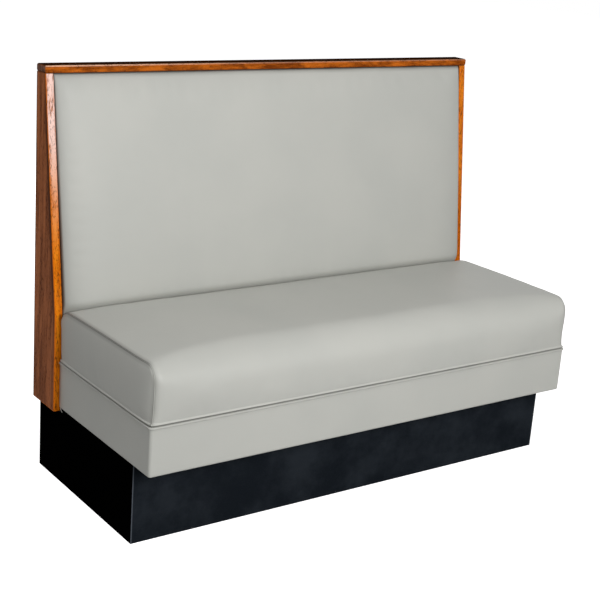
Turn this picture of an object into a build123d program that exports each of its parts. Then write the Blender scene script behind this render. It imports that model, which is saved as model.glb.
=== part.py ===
"""Single restaurant booth: plinth, upholstered seat box, padded back between wooden end panels."""
import os

from build123d import *

os.makedirs("parts", exist_ok=True)

# Overall sizes, in millimetres. The floor is Z 0, the sitter looks along -Y, X 0 is mid length
length = 1219.2
depth = 543.0
height = 956.0
overrun = 4.0

# Sheet and board stock
board = 18.0
vinyl = 1.5
soft_gap = 0.4
face_gap = 0.5

# Plinth, which is set back under the front of the seat
base_height = 184.0
base_recess = 69.0
base_rear_inset = 7.0
laminate = 1.3
rib_share = 0.325

# Seat box and its cushion
riser_height = 112.0
boxing_height = 126.0
seat_side_inset = 14.6
deck = 12.0
front_bulge = 7.5
seat_crown = 12.0
seat_front_rise = 3.0
front_radius_middle = 56.0
front_radius_side = 36.0
riser_corner = 6.0
wrap_under = 20.0

# Where the seat slopes down under the back cushion
crease_from_back = 145.5
crease_height = 431.0
shoulder_height = 393.0

# End panels and cap
panel = 19.0
panel_drop = 11.0
panel_depth_low = 112.0
panel_depth_top = 46.0
knee_height = 405.0
panel_round = 4.0
panel_toe_round = 5.0
cap = 17.5
cap_overhang = 1.8
cap_round = 4.5

# Back
rear_sheet = 5.0
ply = 9.0
foam_edge = 16.0
ply_foot_height = 330.0
rail_height = 60.0
middle_rail_height = 540.0
back_lean_out = 15.0
back_belly = 10.0
back_belly_side = 1.5
back_nose = 14.0
back_top_round = 12.0

# Fasteners and blocks
screw = 2.0
screw_head = 4.0
shank_sides = 6
head_sides = 10
sink_angle = 45
thread_gap = 0.1
cap_screw_pitch = 260.0
block = 45.0
block_height = 90.0
bracket_leg = 40.0
bracket_thick = 3.0
bracket_hole = 4.5
bracket_from_middle = 400.0
anchor_from_board = 24.0
plate_width = 30.0
plate_height = 64.0
vent_hole = 12.0
vent_rows_pitch = 150.0

# Faces worked out from the sizes above
back_y = depth / 2
riser_front = front_bulge - depth / 2
panel_outer = length / 2
panel_inner = panel_outer - panel
seat_half = panel_outer - seat_side_inset
board_half = seat_half - vinyl
board_inner = board_half - board
base_half = board_half + laminate
base_front = riser_front + base_recess
base_board_front = base_front + laminate
base_rear = back_y - base_rear_inset
base_inside_front = base_board_front + board
base_inside_rear = base_rear - board
panel_front = back_y - panel_depth_low
panel_top = height - cap
panel_bottom = base_height - panel_drop
seat_rear = panel_front - face_gap
seat_board_front = riser_front + vinyl
seat_inside_front = seat_board_front + board
seat_inside_rear = seat_rear - board
deck_bottom = base_height + riser_height - deck
seam_height = base_height + riser_height
side_top = seam_height + boxing_height
crease_y = back_y - crease_from_back
rib_x = rib_share * panel_inner
rib = panel_inner - board_inner
rear_sheet_front = back_y - rear_sheet
lean = (panel_depth_low - panel_depth_top) / (panel_top - knee_height)
seat_slope = (crease_height - shoulder_height) / (seat_rear - crease_y)
slope_stretch = (1 + seat_slope**2) ** 0.5
top_rail_bottom = panel_top - rail_height

from_front = (Align.CENTER, Align.MIN, Align.MIN)


def panel_line(z, back=0):
    """Y of the sloping front edge of the end panels at height z, moved back by a distance."""
    return panel_front + (z - knee_height) * lean + back


def rounding(corner, way_in, way_out, reach):
    """Start, middle and end of the arc that rounds a corner and touches both its lines at reach from it."""
    way_in, way_out = way_in.normalized(), way_out.normalized()
    middle_way = (way_in + way_out).normalized()
    cosine = middle_way.dot(way_in)
    tangent = (1 - cosine**2) ** 0.5 / cosine
    return (corner + way_in * reach, corner + middle_way * reach * (1 / cosine - tangent),
            corner + way_out * reach)


def pins(face, places, radius, sides, reach, taper=0):
    """Small many-sided pins that stand on a face by their reach, or go into it where that is negative."""
    with BuildPart() as group:
        with BuildSketch(face):
            with Locations(*places):
                RegularPolygon(radius, sides)
        extrude(amount=reach, taper=taper)
    return group.part


def screws(face, places, grip):
    """Round-headed screws driven into a face: shanks of the grip's length behind it, heads on it."""
    shanks = pins(face, places, screw, shank_sides, -grip)
    return shanks + pins(face, places, screw_head, head_sides, screw)


def pilot_holes(face, places, deep):
    """What is drilled away for such screws behind a face."""
    return pins(face, places, screw + thread_gap, shank_sides, -deep)


def panel_notches(y_start):
    """What is cut from the plinth's rear corners so that the end panels pass down beside it."""
    with BuildPart() as notches:
        for side in (-1, 1):
            with Locations((side * (panel_inner - face_gap + board / 2), y_start, panel_bottom - face_gap)):
                Box(board, depth, board, align=from_front)
    return notches.part


# Plinth boards
bracket_screw_places = [(s * bracket_from_middle, bracket_leg / 2 + bracket_thick) for s in (-1, 1)]

with BuildPart() as base_front_board:
    with Locations((0, base_board_front, 0)):
        Box(2 * board_half, board, base_height, align=from_front)
    face = Plane((0, base_inside_front, 0), x_dir=(-1, 0, 0), z_dir=(0, 1, 0))
    add(pilot_holes(face, bracket_screw_places, board / 2), mode=Mode.SUBTRACT)
base_front_board.part.label = "base_front_board"
export_step(base_front_board.part, "parts/base_front_board.step")

with BuildPart() as base_rear_board:
    with Locations((0, base_inside_rear, 0)):
        Box(2 * board_half, board, base_height, align=from_front)
    face = Plane((0, base_inside_rear, 0), x_dir=(1, 0, 0), z_dir=(0, -1, 0))
    add(pilot_holes(face, bracket_screw_places, board / 2), mode=Mode.SUBTRACT)
    add(panel_notches(base_inside_rear - overrun), mode=Mode.SUBTRACT)
base_rear_board.part.label = "base_rear_board"
export_step(base_rear_board.part, "parts/base_rear_board.step")

# Heights of the screws that hold the flat plates, and places of the plates along the sides
plate_screws = [base_height + s * plate_height / 4 for s in (-1, 1)]
plate_places = [base_inside_front + block + plate_width, seat_inside_rear - block - plate_width]
rib_plate_place = panel_front + 2 * plate_width

for side, name in ((-1, "left"), (1, "right")):
    inner_face = Plane((side * board_inner, 0, 0), x_dir=(0, -side, 0), z_dir=(-side, 0, 0))
    low_holes = [(-side * y, plate_screws[0]) for y in plate_places + [rib_plate_place]]

    with BuildPart() as base_side_board:
        with Locations((side * (board_half - board / 2), base_inside_front, 0)):
            Box(board, base_inside_rear - base_inside_front, base_height, align=from_front)
        add(panel_notches(panel_front - face_gap), mode=Mode.SUBTRACT)
        add(pilot_holes(inner_face, low_holes, board / 2 + thread_gap), mode=Mode.SUBTRACT)
    base_side_board.part.label = f"base_{name}_board"
    export_step(base_side_board.part, f"parts/base_{name}_board.step")

    with BuildPart() as base_side_laminate:
        with Locations((side * (board_half + laminate / 2), base_board_front, 0)):
            Box(laminate, base_rear - base_board_front, base_height, align=from_front)
        add(panel_notches(panel_front - face_gap), mode=Mode.SUBTRACT)
    base_side_laminate.part.label = f"kick_laminate_{name}"
    export_step(base_side_laminate.part, f"parts/kick_laminate_{name}.step")

    with BuildPart() as base_divider:
        with Locations((side * rib_x, base_inside_front, 0)):
            Box(board, base_inside_rear - base_inside_front, base_height, align=from_front)
    base_divider.part.label = f"base_{name}_divider"
    export_step(base_divider.part, f"parts/base_{name}_divider.step")

with BuildPart() as kick_laminate_front:
    with Locations((0, base_front, 0)):
        Box(2 * base_half, laminate, base_height, align=from_front)
kick_laminate_front.part.label = "kick_laminate_front"
export_step(kick_laminate_front.part, "parts/kick_laminate_front.step")


def corner_triangle(side, y_corner, way, x_limit):
    """Edges of the triangle that fills one inner corner of a frame."""
    corner = (side * x_limit, y_corner)
    along_x = (side * (x_limit - block), y_corner)
    along_y = (side * x_limit, y_corner + way * block)
    with BuildLine() as triangle:
        Polyline(corner, along_x, along_y, close=True)
    return triangle.edges()


with BuildPart() as base_corner_blocks:
    with BuildSketch(Plane.XY.offset((base_height - block_height) / 2)):
        for side in (-1, 1):
            make_face(corner_triangle(side, base_inside_front, 1, board_inner))
            make_face(corner_triangle(side, base_inside_rear, -1, board_inner))
    extrude(amount=block_height)
base_corner_blocks.part.label = "base_corner_blocks"
export_step(base_corner_blocks.part, "parts/base_corner_blocks.step")

# Angle brackets that stand on the floor inside the plinth
with BuildPart() as floor_brackets:
    for y_face, way in ((base_inside_front, 1), (base_inside_rear, -1)):
        with BuildSketch(Plane.YZ.offset(bracket_from_middle - plate_width / 2)):
            with BuildLine():
                Polyline(
                    (y_face, 0),
                    (y_face + way * bracket_leg, 0),
                    (y_face + way * bracket_leg, bracket_thick),
                    (y_face + way * bracket_thick, bracket_thick),
                    (y_face + way * bracket_thick, bracket_leg),
                    (y_face, bracket_leg),
                    close=True,
                )
            make_face()
        extrude(amount=plate_width)
        with Locations((bracket_from_middle, y_face + way * anchor_from_board, bracket_thick)):
            Hole(bracket_hole, depth=2 * bracket_thick)
        face = Plane((0, y_face + way * bracket_thick, 0), x_dir=(-way, 0, 0), z_dir=(0, way, 0))
        add(pilot_holes(face, bracket_screw_places, bracket_thick), mode=Mode.SUBTRACT)
    mirror(about=Plane.YZ)
floor_brackets.part.label = "floor_brackets"
export_step(floor_brackets.part, "parts/floor_brackets.step")

with BuildPart() as floor_bracket_screws:
    for y_face, way in ((base_inside_front, 1), (base_inside_rear, -1)):
        face = Plane((0, y_face + way * bracket_thick, 0), x_dir=(-way, 0, 0), z_dir=(0, way, 0))
        add(screws(face, bracket_screw_places, bracket_thick + board / 2 - thread_gap))
floor_bracket_screws.part.label = "floor_bracket_screws"
export_step(floor_bracket_screws.part, "parts/floor_bracket_screws.step")

# Seat box
with BuildPart() as seat_front_board:
    with BuildSketch(Plane.XY.offset(base_height)):
        with Locations((0, seat_board_front)):
            Rectangle(2 * board_half, board, align=(Align.CENTER, Align.MIN))
    extrude(amount=deck_bottom - base_height)
    fillet(seat_front_board.edges().filter_by(Axis.Z).group_by(Axis.Y)[0], riser_corner - vinyl)
seat_front_board.part.label = "seat_front_board"
export_step(seat_front_board.part, "parts/seat_front_board.step")

with BuildPart() as seat_rear_board:
    with Locations((0, seat_inside_rear, base_height)):
        Box(2 * board_half, board, deck_bottom - base_height, align=from_front)
seat_rear_board.part.label = "seat_rear_board"
export_step(seat_rear_board.part, "parts/seat_rear_board.step")

for side, name in ((-1, "left"), (1, "right")):
    inner_face = Plane((side * board_inner, 0, 0), x_dir=(0, -side, 0), z_dir=(-side, 0, 0))

    with BuildPart() as seat_side_board:
        with Locations((side * (board_half - board / 2), seat_inside_front, base_height)):
            Box(board, seat_inside_rear - seat_inside_front, deck_bottom - base_height, align=from_front)
        high_holes = [(-side * y, plate_screws[1]) for y in plate_places]
        add(pilot_holes(inner_face, high_holes, board / 2 + thread_gap), mode=Mode.SUBTRACT)
    seat_side_board.part.label = f"seat_{name}_board"
    export_step(seat_side_board.part, f"parts/seat_{name}_board.step")

    with BuildPart() as seat_cross_board:
        with Locations((side * rib_x, seat_inside_front, base_height)):
            Box(board, seat_inside_rear - seat_inside_front, deck_bottom - base_height, align=from_front)
    seat_cross_board.part.label = f"seat_{name}_cross_board"
    export_step(seat_cross_board.part, f"parts/seat_{name}_cross_board.step")

with BuildPart() as seat_corner_blocks:
    with BuildSketch(Plane.XY.offset(deck_bottom - block_height)):
        for side in (-1, 1):
            make_face(corner_triangle(side, seat_inside_front, 1, board_inner))
            make_face(corner_triangle(side, seat_inside_rear, -1, board_inner))
    extrude(amount=block_height)
seat_corner_blocks.part.label = "seat_corner_blocks"
export_step(seat_corner_blocks.part, "parts/seat_corner_blocks.step")

with BuildPart() as seat_deck:
    with BuildSketch(Plane.XY.offset(deck_bottom)) as deck_sketch:
        with Locations((0, seat_board_front)):
            Rectangle(2 * board_half, seat_rear - seat_board_front, align=(Align.CENTER, Align.MIN))
        fillet(deck_sketch.vertices().group_by(Axis.Y)[0], riser_corner - vinyl)
        with Locations((0, (seat_inside_front + seat_inside_rear) / 2)):
            with GridLocations(2 * rib_x, vent_rows_pitch, 3, 2):
                Circle(vent_hole, mode=Mode.SUBTRACT)
    extrude(amount=deck)
seat_deck.part.label = "seat_deck"
export_step(seat_deck.part, "parts/seat_deck.step")

# Flat steel plates across the joint of plinth, seat box and back
plate_centres = [(side, y) for side in (-1, 1) for y in plate_places + [rib_plate_place]]

with BuildPart() as joining_plates:
    for side, y in plate_centres:
        with BuildSketch(Plane.YZ.offset(side * board_inner)):
            with Locations((y, base_height)):
                Rectangle(plate_width, plate_height)
            with Locations(*[(y, z) for z in plate_screws]):
                RegularPolygon(screw + thread_gap, shank_sides, mode=Mode.SUBTRACT)
        extrude(amount=-side * bracket_thick)
joining_plates.part.label = "joining_plates"
export_step(joining_plates.part, "parts/joining_plates.step")

with BuildPart() as joining_plate_screws:
    for side in (-1, 1):
        face = Plane((side * (board_inner - bracket_thick), 0, 0), x_dir=(0, -side, 0), z_dir=(-side, 0, 0))
        places = [(-side * y, z) for y in plate_places + [rib_plate_place] for z in plate_screws]
        add(screws(face, places, bracket_thick + board / 2))
joining_plate_screws.part.label = "joining_plate_screws"
export_step(joining_plate_screws.part, "parts/joining_plate_screws.step")

# Vinyl band round the front and sides of the seat box, turned under at the front
with BuildPart() as riser_cover:
    with BuildSketch(Plane.XY.offset(base_height)) as band:
        with Locations((0, riser_front)):
            Rectangle(2 * seat_half, seat_rear - riser_front, align=(Align.CENTER, Align.MIN))
        fillet(band.vertices().group_by(Axis.Y)[0], riser_corner)
        with BuildSketch(mode=Mode.SUBTRACT) as band_inside:
            with Locations((0, seat_board_front)):
                Rectangle(2 * board_half, depth, align=(Align.CENTER, Align.MIN))
            fillet(band_inside.vertices().group_by(Axis.Y)[0], riser_corner - vinyl)
    extrude(amount=riser_height)
    with BuildSketch(Plane.XY.offset(base_height)) as lip:
        with Locations((0, riser_front)):
            Rectangle(2 * seat_half, wrap_under, align=(Align.CENTER, Align.MIN))
        fillet(lip.vertices().group_by(Axis.Y)[0], riser_corner)
    extrude(amount=-vinyl)
riser_cover.part.label = "riser_cover"
export_step(riser_cover.part, "parts/riser_cover.step")

# Cushion stations along the length, as shares of the half length; the crown follows a power of them
seat_station_shares = (-1, -0.92, -0.78, -0.45, 0, 0.45, 0.78, 0.92, 1)
back_station_shares = (-1, -0.96, -0.87, -0.6, 0, 0.6, 0.87, 0.96, 1)
seat_crown_power = 6
back_crown_power = 10
front_bulge_share = 0.45
front_start_share = 0.35


def seat_outline(fullness, inset=0, below=0):
    """Edges of the seat cushion's side view; fullness is 0 at the ends and 1 at mid length."""
    top = side_top + seat_crown * fullness - inset
    radius = front_radius_side + (front_radius_middle - front_radius_side) * fullness
    bulge = front_bulge * (front_bulge_share + (1 - front_bulge_share) * fullness)
    nose_y = riser_front - bulge + inset
    top_front = top + seat_front_rise
    slope_drop = inset * slope_stretch
    crease = crease_y + (crease_height - slope_drop - top) / seat_slope
    start = (riser_front + inset, seam_height - below)
    swell = (nose_y + (1 - front_bulge_share) * front_bulge * front_start_share,
             seam_height + boxing_height * front_start_share)
    nose = (nose_y, top_front - radius)
    arc_middle = (nose_y + radius * (1 - 0.5**0.5), top_front - radius * (1 - 0.5**0.5))
    top_start = (nose_y + radius, top_front)
    rear_top = (crease, top)
    top_middle = ((top_start[0] + rear_top[0]) / 2, (top_start[1] + rear_top[1]) / 2 + seat_front_rise / 2)
    shoulder = (seat_rear - inset, shoulder_height - slope_drop + inset * seat_slope)
    with BuildLine() as side_view:
        ThreePointArc(start, swell, nose)
        ThreePointArc(nose, arc_middle, top_start)
        ThreePointArc(top_start, top_middle, rear_top)
        Polyline(rear_top, shoulder, (seat_rear - inset, seam_height - below), start)
    return side_view.edges()


with BuildPart() as seat_foam:
    for share in seat_station_shares:
        with BuildSketch(Plane.YZ.offset(share * board_half)):
            make_face(seat_outline(1 - abs(share)**seat_crown_power, vinyl + soft_gap))
    loft(ruled=True)
seat_foam.part.label = "seat_foam"
export_step(seat_foam.part, "parts/seat_foam.step")

with BuildPart() as seat_hollow:
    for share in seat_station_shares:
        with BuildSketch(Plane.YZ.offset(share * (board_half + overrun))):
            make_face(seat_outline(1 - abs(share)**seat_crown_power, vinyl, overrun))
    loft(ruled=True)

with BuildPart() as seat_top_cover:
    for share in seat_station_shares:
        with BuildSketch(Plane.YZ.offset(share * board_half)):
            make_face(seat_outline(1 - abs(share)**seat_crown_power))
    loft(ruled=True)
    add(seat_hollow.part, mode=Mode.SUBTRACT)
seat_top_cover.part.label = "seat_top_cover"
export_step(seat_top_cover.part, "parts/seat_top_cover.step")

for side, name in ((-1, "left"), (1, "right")):
    with BuildPart() as seat_boxing:
        with BuildSketch(Plane.YZ.offset(side * board_half)):
            make_face(seat_outline(0))
        extrude(amount=side * vinyl)
    seat_boxing.part.label = f"seat_{name}_boxing"
    export_step(seat_boxing.part, f"parts/seat_{name}_boxing.step")

# Back frame: ribs, rails and the sloping plywood
rib_top_front = panel_line(top_rail_bottom, foam_edge + ply)
rib_foot_front = panel_line(ply_foot_height, foam_edge + ply)
rib_places = ((-1, "left_outer_rib", panel_inner - rib), (-1, "left_inner_rib", rib_x - rib / 2),
              (1, "right_inner_rib", rib_x - rib / 2), (1, "right_outer_rib", panel_inner - rib))
rear_screw_heights = (base_height + rail_height / 2, middle_rail_height + rail_height / 2)
panel_screw_heights = (base_height + 2 * plate_height, knee_height, middle_rail_height + rail_height / 2)
panel_screws = [(rear_sheet_front - board - rib, z) for z in panel_screw_heights]
rear_places = [(side * 2 * rib_x, 0) for side in (-1, 0, 1)]

for side, name, inner in rib_places:
    with BuildPart() as back_rib:
        with BuildSketch(Plane.YZ.offset(side * inner)):
            with BuildLine():
                Polyline(
                    (rear_sheet_front, base_height),
                    (rib_foot_front, base_height),
                    (rib_foot_front, ply_foot_height),
                    (rib_top_front, top_rail_bottom),
                    (rear_sheet_front, top_rail_bottom),
                    close=True,
                )
            make_face()
            for z in (base_height, middle_rail_height):
                with Locations((rear_sheet_front, z)):
                    Rectangle(board, rail_height, align=(Align.MAX, Align.MIN), mode=Mode.SUBTRACT)
            if inner > rib_x:
                with Locations(*panel_screws):
                    RegularPolygon(screw + thread_gap, shank_sides, mode=Mode.SUBTRACT)
        extrude(amount=side * rib)
        if inner > rib_x:
            rib_face = Plane((side * inner, 0, 0), x_dir=(0, -side, 0), z_dir=(-side, 0, 0))
            plate_hole = (-side * rib_plate_place, plate_screws[1])
            add(pilot_holes(rib_face, [plate_hole], board / 2 + thread_gap), mode=Mode.SUBTRACT)
    back_rib.part.label = name
    export_step(back_rib.part, f"parts/{name}.step")

for name, z in (("back_bottom_rail", base_height), ("back_middle_rail", middle_rail_height)):
    with BuildPart() as back_rail:
        with Locations((0, rear_sheet_front - board, z)):
            Box(2 * panel_inner, board, rail_height, align=from_front)
        face = Plane((0, rear_sheet_front, z + rail_height / 2), x_dir=(-1, 0, 0), z_dir=(0, 1, 0))
        add(pilot_holes(face, rear_places, board / 2 + thread_gap), mode=Mode.SUBTRACT)
    back_rail.part.label = name
    export_step(back_rail.part, f"parts/{name}.step")

cap_screw_y = (panel_line(panel_top, foam_edge + ply) + rear_sheet_front) / 2
cap_screw_places = [(side * cap_screw_pitch / 2, 0) for side in (-3, -1, 1, 3)]
cap_screw_face = Plane((0, cap_screw_y, top_rail_bottom), x_dir=(1, 0, 0), z_dir=(0, 0, -1))

with BuildPart() as back_top_rail:
    with BuildSketch(Plane.YZ.offset(-panel_inner)):
        with BuildLine():
            Polyline(
                (rear_sheet_front, top_rail_bottom),
                (rib_top_front, top_rail_bottom),
                (panel_line(panel_top, foam_edge + ply), panel_top),
                (rear_sheet_front, panel_top),
                close=True,
            )
        make_face()
    extrude(amount=2 * panel_inner)
    add(pilot_holes(cap_screw_face, cap_screw_places, rail_height), mode=Mode.SUBTRACT)
back_top_rail.part.label = "back_top_rail"
export_step(back_top_rail.part, "parts/back_top_rail.step")

with BuildPart() as back_plywood:
    with BuildSketch(Plane.YZ.offset(-panel_inner)):
        with BuildLine():
            Polyline(
                (panel_line(ply_foot_height, foam_edge), ply_foot_height),
                (panel_line(panel_top, foam_edge), panel_top),
                (panel_line(panel_top, foam_edge + ply), panel_top),
                (panel_line(ply_foot_height, foam_edge + ply), ply_foot_height),
                close=True,
            )
        make_face()
    extrude(amount=2 * panel_inner)
back_plywood.part.label = "back_plywood"
export_step(back_plywood.part, "parts/back_plywood.step")


def sunk_pins(z, gap, grip):
    """Countersunk screws through the rear panel at one height, or with a gap the holes that take them."""
    face = Plane((0, back_y, z), x_dir=(-1, 0, 0), z_dir=(0, 1, 0))
    shanks = pins(face, rear_places, screw + gap, shank_sides, -grip)
    heads = pins(face, rear_places, screw_head + gap, head_sides, screw - screw_head, taper=sink_angle)
    return shanks + heads


with BuildPart() as rear_panel:
    with Locations((0, rear_sheet_front, base_height)):
        Box(2 * panel_inner, rear_sheet, panel_top - base_height, align=from_front)
    for z in rear_screw_heights:
        add(sunk_pins(z, thread_gap, rear_sheet), mode=Mode.SUBTRACT)
rear_panel.part.label = "rear_panel"
export_step(rear_panel.part, "parts/rear_panel.step")

with BuildPart() as rear_panel_screws:
    for z in rear_screw_heights:
        add(sunk_pins(z, 0, rear_sheet + board / 2))
rear_panel_screws.part.label = "rear_panel_screws"
export_step(rear_panel_screws.part, "parts/rear_panel_screws.step")

# End panels, tapered above the knee, with rounded front edges
for side, name in ((-1, "left"), (1, "right")):
    with BuildPart() as end_panel:
        with BuildSketch(Plane.YZ.offset(side * panel_inner)) as outline:
            with BuildLine():
                Polyline(
                    (back_y, panel_bottom),
                    (panel_front, panel_bottom),
                    (panel_front, knee_height),
                    (panel_line(panel_top), panel_top),
                    (back_y, panel_top),
                    close=True,
                )
            make_face()
            foot_corners = outline.vertices().group_by(Axis.Y)[0]
            fillet(foot_corners.sort_by(Axis.X)[0], panel_toe_round)
        extrude(amount=side * panel)
        face = Plane((side * panel_inner, 0, 0), x_dir=(0, -side, 0), z_dir=(-side, 0, 0))
        holes = [(-side * y, z) for y, z in panel_screws]
        add(pilot_holes(face, holes, panel / 2), mode=Mode.SUBTRACT)
        long_edges = end_panel.edges().filter_by(lambda e: e.length > knee_height - panel_bottom - panel)
        front_edges = long_edges.filter_by(lambda e: e.center().Y < back_y - panel_depth_top / 2)
        rounded = front_edges.filter_by(lambda e: abs(e.tangent_at(0.5).Z) > lean)
        fillet(rounded, panel_round)
    end_panel.part.label = f"{name}_end_panel"
    export_step(end_panel.part, f"parts/{name}_end_panel.step")

with BuildPart() as end_panel_screws:
    for side in (-1, 1):
        face = Plane((side * (panel_inner - rib), 0, 0), x_dir=(0, -side, 0), z_dir=(-side, 0, 0))
        add(screws(face, [(-side * y, z) for y, z in panel_screws], rib + panel / 2 - thread_gap))
end_panel_screws.part.label = "end_panel_screws"
export_step(end_panel_screws.part, "parts/end_panel_screws.step")

# Cap board over the back and the end panels
with BuildPart() as top_cap:
    with Locations((0, panel_line(panel_top), panel_top)):
        Box(2 * (panel_outer + cap_overhang), panel_depth_top, cap, align=from_front)
    fillet(top_cap.edges(), cap_round)
    cap_screw_depth = rail_height + cap / 2 + thread_gap
    add(pilot_holes(cap_screw_face, cap_screw_places, cap_screw_depth), mode=Mode.SUBTRACT)
top_cap.part.label = "top_cap"
export_step(top_cap.part, "parts/top_cap.step")

with BuildPart() as cap_screws:
    add(screws(cap_screw_face, cap_screw_places, rail_height + cap / 2))
cap_screws.part.label = "cap_screws"
export_step(cap_screws.part, "parts/cap_screws.step")

# Back cushion, a padded wedge between the end panels
cushion_half = panel_inner - face_gap
cushion_top = panel_top - face_gap


def back_outline(fullness, inset=0, behind=0):
    """Edges of the back cushion's side view; fullness is 0 at the ends and 1 at mid length."""
    under_gap = (face_gap + inset) * slope_stretch
    side_front = panel_line(crease_height) - back_lean_out
    low_front = side_front + (crease_y - side_front) * fullness + inset
    corner = Vector(low_front, crease_height - (low_front - crease_y) * seat_slope + under_gap)
    nose_start, nose_middle, nose_end = rounding(corner, Vector(1, -seat_slope), Vector(lean, 1), back_nose)
    top_y = panel_line(cushion_top - back_top_round) + inset
    face_end = (top_y, cushion_top - back_top_round - inset)
    belly = back_belly_side + (back_belly - back_belly_side) * fullness
    face_middle = ((nose_end.X + face_end[0]) / 2 - belly, (nose_end.Y + face_end[1]) / 2)
    top_start = (top_y + back_top_round, cushion_top - inset)
    top_middle = (top_y + back_top_round / 3, cushion_top - back_top_round / 3 - inset)
    rear = foam_edge + behind
    top_rear = (panel_line(cushion_top - inset, rear), cushion_top - inset)
    drop = (panel_line(crease_height, rear) - crease_y) * seat_slope - under_gap
    low_z = crease_height - drop / (1 + lean * seat_slope)
    low_rear = (panel_line(low_z, rear), low_z)
    with BuildLine() as side_view:
        Line(low_rear, nose_start)
        ThreePointArc(nose_start, nose_middle, nose_end)
        ThreePointArc(nose_end, face_middle, face_end)
        ThreePointArc(face_end, top_middle, top_start)
        Polyline(top_start, top_rear, low_rear)
    return side_view.edges()


with BuildPart() as back_foam:
    for share in back_station_shares:
        with BuildSketch(Plane.YZ.offset(share * (cushion_half - vinyl - soft_gap))):
            make_face(back_outline(1 - abs(share)**back_crown_power, vinyl + soft_gap))
    loft(ruled=True)
back_foam.part.label = "back_foam"
export_step(back_foam.part, "parts/back_foam.step")

with BuildPart() as back_hollow:
    for share in back_station_shares:
        with BuildSketch(Plane.YZ.offset(share * (cushion_half - vinyl))):
            make_face(back_outline(1 - abs(share)**back_crown_power, vinyl, overrun))
    loft(ruled=True)

with BuildPart() as back_cover:
    for share in back_station_shares:
        with BuildSketch(Plane.YZ.offset(share * cushion_half)):
            make_face(back_outline(1 - abs(share)**back_crown_power))
    loft(ruled=True)
    add(back_hollow.part, mode=Mode.SUBTRACT)
back_cover.part.label = "back_cover"
export_step(back_cover.part, "parts/back_cover.step")
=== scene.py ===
"""Looks of the single restaurant booth: grey vinyl cushions, stained oak ends and cap, black kick base."""

import math

import bmesh
import bpy
from mathutils import Matrix, Vector, noise
from mathutils.bvhtree import BVHTree
from mathutils.kdtree import KDTree


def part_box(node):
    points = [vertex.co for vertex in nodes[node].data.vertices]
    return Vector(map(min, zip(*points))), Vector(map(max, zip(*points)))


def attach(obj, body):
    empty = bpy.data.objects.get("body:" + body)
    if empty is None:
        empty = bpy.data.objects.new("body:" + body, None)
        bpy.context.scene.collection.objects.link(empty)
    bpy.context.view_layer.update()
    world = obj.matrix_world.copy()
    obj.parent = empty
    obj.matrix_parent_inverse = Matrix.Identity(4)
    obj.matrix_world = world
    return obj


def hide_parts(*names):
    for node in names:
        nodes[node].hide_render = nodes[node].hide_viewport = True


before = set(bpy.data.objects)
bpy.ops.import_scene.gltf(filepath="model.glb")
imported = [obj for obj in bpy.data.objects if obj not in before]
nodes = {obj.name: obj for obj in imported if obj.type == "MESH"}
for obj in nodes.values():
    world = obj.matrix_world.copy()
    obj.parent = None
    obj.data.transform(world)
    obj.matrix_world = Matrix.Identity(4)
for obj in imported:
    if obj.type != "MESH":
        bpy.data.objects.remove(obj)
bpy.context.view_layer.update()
scene = bpy.context.scene

# Places read from the frame, in metres
riser_low, riser_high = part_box("riser_cover")
panel_low, panel_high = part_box("left_end_panel")
back_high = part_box("back_cover")[1]

# Sizes of the booth that its pieces share, in metres
riser_height = 0.112
boxing_height = 0.126
panel_lean = 0.066
knee_z = 0.405
shoulder_z = 0.393
crease_y, crease_z = 0.126, 0.431

seat_half = riser_high.x
riser_front = riser_low.y
seat_rear = riser_high.y
seam_z = riser_high.z
riser_foot = seam_z - riser_height
side_top = seam_z + boxing_height
seat_slope = (crease_z - shoulder_z) / (seat_rear - crease_y)
panel_front = panel_low.y
lean = panel_lean / (panel_high.z - knee_z)


def panel_line(z):
    """Y of the end panels' front edge at height z."""
    return panel_front + max(z - knee_z, 0) * lean


# Meshes

def keep_mesh(name, bm, material):
    """A smooth-shaded mesh from a bmesh, which it frees."""
    mesh = bpy.data.meshes.new(name)
    bm.to_mesh(mesh)
    bm.free()
    for face in mesh.polygons:
        face.use_smooth = True
    mesh.materials.append(material)
    return mesh


def new_piece(name, bm, material):
    """A piece from a bmesh, riding on the booth."""
    piece = bpy.data.objects.new(name, keep_mesh(name, bm, material))
    scene.collection.objects.link(piece)
    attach(piece, "root")
    return piece


def even(count):
    """Shares from 0 to 1 in even steps."""
    return [k / count for k in range(count + 1)]


def graded(count, length, steps):
    """Shares from 0 to 1: small given steps in metres at both ends and even ones between."""
    near = [step / length for step in steps]
    middle = 1 - 2 * near[-1]
    between = [near[-1] + middle * k / count for k in range(1, count)]
    return [0] + near + between + [1 - share for share in reversed(near)] + [1]


def along(points, share):
    """Point at a share of the length of a line through points."""
    lengths = [0]
    for a, b in zip(points, points[1:]):
        lengths.append(lengths[-1] + (b - a).length)
    reach = share * lengths[-1]
    last = len(points) - 2
    for k in range(last + 1):
        if reach <= lengths[k + 1] or k == last:
            return points[k].lerp(points[k + 1], (reach - lengths[k]) / (lengths[k + 1] - lengths[k]))


def block_grid(*axes):
    """A cube cut into a grid at the given shares of its three axes."""
    bm = bmesh.new()
    bmesh.ops.create_cube(bm, size=1, matrix=Matrix.Translation((0.5, 0.5, 0.5)))
    for axis, shares in enumerate(axes):
        running = [e for e in bm.edges if abs((e.verts[0].co - e.verts[1].co)[axis]) > 0.5]
        bmesh.ops.subdivide_edges(bm, edges=running, cuts=len(shares) - 2, use_grid_fill=True)
        for vert in bm.verts:
            vert.co[axis] = shares[round(vert.co[axis] * (len(shares) - 1))]
    return bm


def span(section, v, w):
    """Point of a side view between its front, over, rear and bottom lines, at shares back and up."""
    front, over, rear, bottom = section
    spot = (1 - v) * along(front, w) + v * along(rear, w) + (1 - w) * along(bottom, v) + w * along(over, v)
    spot -= (1 - v) * (1 - w) * front[0] + (1 - v) * w * front[-1]
    return spot - v * (1 - w) * rear[0] - v * w * rear[-1]


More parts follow.
